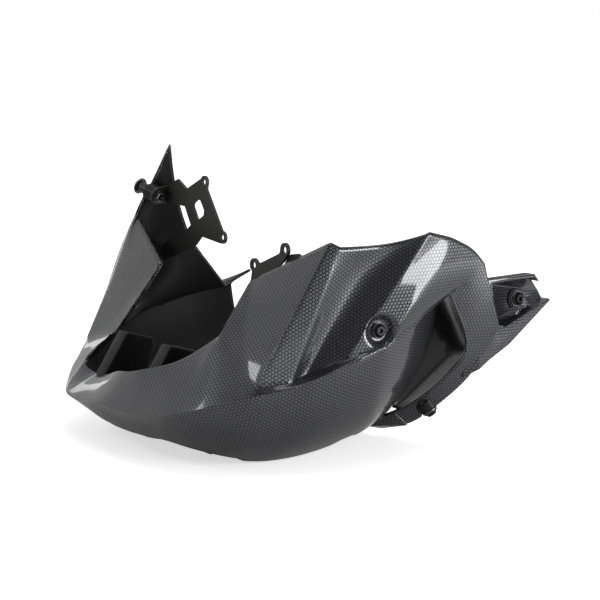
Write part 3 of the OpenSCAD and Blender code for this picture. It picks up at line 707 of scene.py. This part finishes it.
class PAN_OT_tail(bpy.types.Operator):
    """Tail arm: a web with a channel that opens outwards and to the rear"""
    bl_idname = "pan.tail"
    bl_label = "Tail arm"

    def execute(self, context):
        inside = 176.0
        web = 179.2
        outside = 190.2
        pocket = 186.4
        slope_end = 199.0
        upper = [(206, 162), (270, 164), (276.9, 155.8), (269, 160.5), (214, 158.5)]
        fore = [(206, 162), (214, 158.5), (219, 120), (212, 84), (186, 68), (192, 102), (200, 134)]
        ledge = [(219, 120), (232, 114.5), (290.5, 138.2), (292, 136), (238, 97), (212, 84)]
        channel = [(214, 158.5), (269, 160.5), (276.9, 155.8), (286, 145), (290.5, 138.2), (232, 114.5),
                   (219, 120)]
        bm = bmesh.new()
        corners = {}
        for y, z in upper + fore + ledge + channel:
            if (y, z) not in corners:
                corners[(y, z)] = bm.verts.new(place((inside, y, z)))
        faces = [bm.faces.new([corners[c] for c in outline]) for outline in (upper, fore, ledge, channel)]
        made = bmesh.ops.extrude_face_region(bm, geom=faces)
        raised = [g for g in made["geom"] if isinstance(g, bmesh.types.BMVert)]
        bmesh.ops.translate(bm, verts=raised, vec=Vector(((web - inside) / 1000.0, 0, 0)))
        tops = [g for g in made["geom"] if isinstance(g, bmesh.types.BMFace)]
        tops.sort(key=lambda f: len(f.verts) == 7 and f.calc_center_median().y > place((0, 240, 0)).y)
        made = bmesh.ops.extrude_face_region(bm, geom=tops[:3])
        raised = [g for g in made["geom"] if isinstance(g, bmesh.types.BMVert)]
        bmesh.ops.translate(bm, verts=raised, vec=Vector(((outside - web) / 1000.0, 0, 0)))
        # The fore end slopes in under the strut and stops short of the pocket
        geom = list(bm.verts) + list(bm.edges) + list(bm.faces)
        trimmed = bmesh.ops.bisect_plane(bm, geom=geom, plane_co=place((outside, slope_end, 90)),
                                         plane_no=Vector((13, -9.2, 0)).normalized(), clear_outer=True)
        rim = [g for g in trimmed["geom_cut"] if isinstance(g, bmesh.types.BMEdge)]
        bmesh.ops.holes_fill(bm, edges=rim)
        bmesh.ops.recalc_face_normals(bm, faces=bm.faces)
        sharp = [e for e in bm.edges if len(e.link_faces) == 2 and e.calc_face_angle(0) > math.radians(50)]
        bmesh.ops.bevel(bm, geom=sharp, offset=0.0007, segments=2, profile=0.5, affect="EDGES", material=-1,
                        clamp_overlap=True)
        obj = new_object("tail_arm", bm, [finish_for("carbon_shell")])
        cut = bmesh.new()
        prism(cut, [(266, 129), (237, 102), (212, 89), (200, 84), (202, 97), (226, 110)], inside - 1, pocket)
        bmesh.ops.recalc_face_normals(cut, faces=cut.faces)
        bore = Matrix.Translation(place((178, 254, 140))) @ Matrix.Rotation(math.pi / 2, 4, "Y")
        radius = GROMMET_BORE / 1000.0
        bmesh.ops.create_cone(cut, cap_ends=True, segments=48, radius1=radius, radius2=radius, depth=0.012,
                              matrix=bore)
        cutter = new_object("cutter", cut, [])
        carve = obj.modifiers.new("carve", "BOOLEAN")
        carve.operation = "DIFFERENCE"
        carve.solver = "EXACT"
        carve.object = cutter
        baked(obj)
        old = cutter.data
        bpy.data.objects.remove(cutter)
        bpy.data.meshes.remove(old)
        uv_in_metres(obj, boxed=True)
        soften(obj, 30)
        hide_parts("belly_shell")
        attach(obj, "root")
        return {"FINISHED"}


class PAN_OT_vent_wall(bpy.types.Operator):
    """Gloss black wall behind the side vent, turned in from the vent's rear edge"""
    bl_idname = "pan.vent_wall"
    bl_label = "Vent wall"

    def execute(self, context):
        bm = bmesh.new()
        sheet_grid(bm, vent_wall(), False)
        bmesh.ops.recalc_face_normals(bm, faces=bm.faces)
        facing = sum((f.normal * f.calc_area() for f in bm.faces), Vector())
        if facing.y > 0:
            bmesh.ops.reverse_faces(bm, faces=bm.faces)
        obj = new_object("vent_wall", bm, [finish_for("gloss_black")])
        smooth = obj.modifiers.new("smooth", "SUBSURF")
        smooth.levels = 2
        smooth.render_levels = 2
        wall = obj.modifiers.new("wall", "SOLIDIFY")
        wall.thickness = VENT_WALL / 1000.0
        wall.offset = -1.0
        soften(obj, 38)
        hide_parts("belly_shell")
        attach(obj, "root")
        return {"FINISHED"}


class PAN_OT_vanes(bpy.types.Operator):
    """Two hollow vanes behind the lip of the intake, open to the rear"""
    bl_idname = "pan.vanes"
    bl_label = "Intake vanes"

    def execute(self, context):
        bm = bmesh.new()
        for x, y, front, rear, top in ((-70, -52, 23, 16, 104), (14, -50, 19.3, 14.3, 102)):
            outline = [(y - 24, front - 2), (y - 28, top - 41), (y - 1, top), (y + 29, top - 8.5),
                       (y + 30, top - 16), (y + 1, rear - 3)]
            one = bmesh.new()
            prism(one, outline, x, x + VANE_WIDTH)
            bmesh.ops.recalc_face_normals(one, faces=one.faces)
            bmesh.ops.bevel(one, geom=list(one.edges), offset=0.0022, segments=3, profile=0.5, affect="EDGES",
                            material=-1, clamp_overlap=True)
            behind = Vector((0, 1, -0.4)).normalized()
            open_face = max(one.faces, key=lambda f: f.normal.dot(behind) * f.calc_area())
            bmesh.ops.delete(one, geom=[open_face], context="FACES")
            mesh = bpy.data.meshes.new("vane")
            one.to_mesh(mesh)
            one.free()
            bm.from_mesh(mesh)
            bpy.data.meshes.remove(mesh)
        obj = new_object("intake_vanes", bm, [finish_for("inner_skin")])
        wall = obj.modifiers.new("wall", "SOLIDIFY")
        wall.thickness = VANE_WALL / 1000.0
        wall.offset = -1.0
        soften(obj, 30)
        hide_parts("belly_shell")
        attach(obj, "root")
        return {"FINISHED"}


class PAN_OT_bosses(bpy.types.Operator):
    """Bosses behind the skin at the screws, and the tab that joins the strut to the hull"""
    bl_idname = "pan.bosses"
    bl_label = "Bosses and tab"

    def execute(self, context):
        bm = bmesh.new()
        ring(bm, WING_BOLT, -12.0, -1.0, BOSS_R, BORE_R)
        ring(bm, LOW_BOLT, -15.0, -1.0, BOSS_R, BORE_R)
        ring(bm, DIMPLE, -13.2, -8.0, BOSS_R + 1, BORE_R)
        ring(bm, FOOT_BOLT, -9.8, -1.0, BOSS_R, BORE_R)
        bmesh.ops.recalc_face_normals(bm, faces=bm.faces)
        obj = new_object("screw_bosses", bm, [finish_for("inner_skin")])
        soften(obj, 30)
        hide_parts("belly_shell")
        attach(obj, "root")
        bm = bmesh.new()
        corners = (((92, 140, 12), 2.6), ((97, 153, 9), 2.6), ((126, 160, 16), 2.2), ((124, 148, 27), 2.2))
        for at, radius in corners:
            bmesh.ops.create_icosphere(bm, subdivisions=3, radius=radius / 1000.0,
                                       matrix=Matrix.Translation(place(at)))
        made = bmesh.ops.convex_hull(bm, input=bm.verts)
        spare = [g for g in made["geom_interior"] + made["geom_unused"] if isinstance(g, bmesh.types.BMVert)]
        bmesh.ops.delete(bm, geom=spare, context="VERTS")
        bmesh.ops.recalc_face_normals(bm, faces=bm.faces)
        tab = new_object("strut_tab", bm, [finish_for("carbon_shell")])
        uv_in_metres(tab, boxed=True)
        soften(tab, 40)
        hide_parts("belly_shell")
        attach(tab, "root")
        return {"FINISHED"}


class PAN_OT_fittings(bpy.types.Operator):
    """Brackets, screws, washers, nuts, spacer and rubber parts with rounded edges; the black pad on the left
    bracket is painted shade on the bracket's arm
    """
    bl_idname = "pan.fittings"
    bl_label = "Fittings"

    def execute(self, context):
        edge = context.scene.pan_sizes.edge
        for name in sorted(frame["nodes"]):
            if name == "belly_shell":
                continue
            dress_node(name, edge if "bracket" in name else edge * 0.5)
        return {"FINISHED"}


class PAN_OT_studio(bpy.types.Operator):
    """Pale floor, soft lamps, white background and the camera"""
    bl_idname = "pan.studio"
    bl_label = "Studio"

    def execute(self, context):
        bm = bmesh.new()
        bmesh.ops.create_grid(bm, x_segments=2, y_segments=2, size=6.0)
        bmesh.ops.translate(bm, verts=bm.verts, vec=Vector((0, 0, -0.0005)))
        floor = new_object("studio_floor", bm, [self.floor_material(context)])
        self.world(context)
        self.lamp(context, "top_softbox", (0.0, 0.2, 1.9), (0.0, 0.0, 0.1), (1.4, 1.4), 10.0)
        self.lamp(context, "side_strip", (1.46, 0.68, 0.32), (0.12, 0.06, 0.16), (0.78, 0.60), 20.0)
        self.lamp(context, "front_softbox", (-0.46, -1.20, 1.02), (0.06, -0.06, 0.12), (0.34, 0.26), 2.2)
        self.lamp(context, "far_strip", (-1.5, -0.10, 0.42), (-0.15, -0.08, 0.12), (0.12, 0.34), 0.3)
        self.camera(context)
        return {"FINISHED"}

    def lamp(self, context, name, at, aim, size, power):
        data = bpy.data.lights.new(name, "AREA")
        data.shape = "RECTANGLE"
        data.size = size[0]
        data.size_y = size[1]
        data.energy = power
        obj = bpy.data.objects.new(name, data)
        obj.location = Vector(at)
        obj.rotation_euler = (Vector(aim) - Vector(at)).to_track_quat("-Z", "Y").to_euler()
        context.scene.collection.objects.link(obj)

    def floor_material(self, context):
        mat, tree, shader = new_material("studio_floor")
        colour = context.scene.pan_colours.floor
        shader.inputs["Base Color"].default_value = (*colour, 1)
        shader.inputs["Roughness"].default_value = 0.7
        seen = node(tree, "ShaderNodeLightPath")
        glow = node(tree, "ShaderNodeEmission")
        glow.inputs["Color"].default_value = (1, 1, 1, 1)
        coords = node(tree, "ShaderNodeTexCoord")
        far = node(tree, "ShaderNodeVectorMath", operation="LENGTH")
        tree.links.new(coords.outputs["Object"], far.inputs[0])
        lift = node(tree, "ShaderNodeMapRange", interpolation_type="SMOOTHSTEP")
        lift.inputs["From Min"].default_value = 0.25
        lift.inputs["From Max"].default_value = 1.6
        lift.inputs["To Min"].default_value = 0.62
        lift.inputs["To Max"].default_value = 1.0
        tree.links.new(far.outputs["Value"], lift.inputs["Value"])
        tree.links.new(maths(tree, "MULTIPLY", seen.outputs["Is Camera Ray"], lift.outputs["Result"]),
                       glow.inputs["Strength"])
        both = node(tree, "ShaderNodeAddShader")
        tree.links.new(shader.outputs[0], both.inputs[0])
        tree.links.new(glow.outputs[0], both.inputs[1])
        tree.links.new(both.outputs[0], tree.nodes["Material Output"].inputs["Surface"])
        return mat

    def world(self, context):
        world = bpy.data.worlds.new("studio_world")
        world.use_nodes = True
        context.scene.world = world
        tree = world.node_tree
        ground = tree.nodes["Background"]
        ground.inputs["Color"].default_value = (1, 1, 1, 1)
        seen = node(tree, "ShaderNodeLightPath")
        coords = node(tree, "ShaderNodeTexCoord")
        split = node(tree, "ShaderNodeSeparateXYZ")
        tree.links.new(coords.outputs["Generated"], split.inputs[0])
        shade = node(tree, "ShaderNodeMapRange", interpolation_type="SMOOTHSTEP")
        shade.inputs["From Min"].default_value = -0.3
        shade.inputs["From Max"].default_value = 0.7
        shade.inputs["To Min"].default_value = 0.6
        shade.inputs["To Max"].default_value = 0.05
        tree.links.new(split.outputs[0], shade.inputs["Value"])
        mirrored = maths(tree, "MULTIPLY", seen.outputs["Is Glossy Ray"], shade.outputs["Result"])
        shown = maths(tree, "MAXIMUM", seen.outputs["Is Camera Ray"], seen.outputs["Is Transmission Ray"])
        shown = maths(tree, "MAXIMUM", shown, mirrored)
        soft = maths(tree, "MULTIPLY", seen.outputs["Is Diffuse Ray"], 0.45)
        tree.links.new(maths(tree, "MAXIMUM", shown, soft), ground.inputs["Strength"])

    def camera(self, context):
        azimuth = math.radians(55.0)
        height = math.radians(8.0)
        aim = place((41.4, 92.3, 135.2))
        level = math.cos(height)
        back = Vector((math.sin(azimuth) * level, -math.cos(azimuth) * level, math.sin(height)))
        data = bpy.data.cameras.new("photo_camera")
        data.sensor_width = 36.0
        data.lens = 84.0
        data.clip_start = 0.01
        obj = bpy.data.objects.new("photo_camera", data)
        obj.location = aim + back * 1.4
        obj.rotation_euler = (-back).to_track_quat("-Z", "Y").to_euler()
        context.scene.collection.objects.link(obj)
        context.scene.camera = obj
        context.scene.view_settings.view_transform = "Standard"


class PAN_PT_panel(bpy.types.Panel):
    """The pan's pieces, sizes and colours"""
    bl_idname = "PAN_PT_panel"
    bl_label = "Belly Pan"
    bl_space_type = "VIEW_3D"
    bl_region_type = "UI"
    bl_category = "Belly Pan"

    def draw(self, context):
        for piece in PIECES:
            self.layout.operator(piece.bl_idname)
        for group in (context.scene.pan_sizes, context.scene.pan_colours):
            for name in group.__annotations__:
                self.layout.prop(group, name)


PIECES = (PAN_OT_shell, PAN_OT_tail, PAN_OT_vent_wall, PAN_OT_vanes, PAN_OT_bosses, PAN_OT_fittings,
          PAN_OT_studio)
CLASSES = (PanSizes, PanColours) + PIECES + (PAN_PT_panel,)


def register():
    for cls in CLASSES:
        bpy.utils.register_class(cls)
    bpy.types.Scene.pan_sizes = PointerProperty(type=PanSizes)
    bpy.types.Scene.pan_colours = PointerProperty(type=PanColours)


def unregister():
    del bpy.types.Scene.pan_colours
    del bpy.types.Scene.pan_sizes
    for cls in reversed(CLASSES):
        bpy.utils.unregister_class(cls)


def main():
    register()
    bpy.ops.pan.shell()
    bpy.ops.pan.tail()
    bpy.ops.pan.vent_wall()
    bpy.ops.pan.vanes()
    bpy.ops.pan.bosses()
    bpy.ops.pan.fittings()
    bpy.ops.pan.studio()


if __name__ == "__main__":
    main()
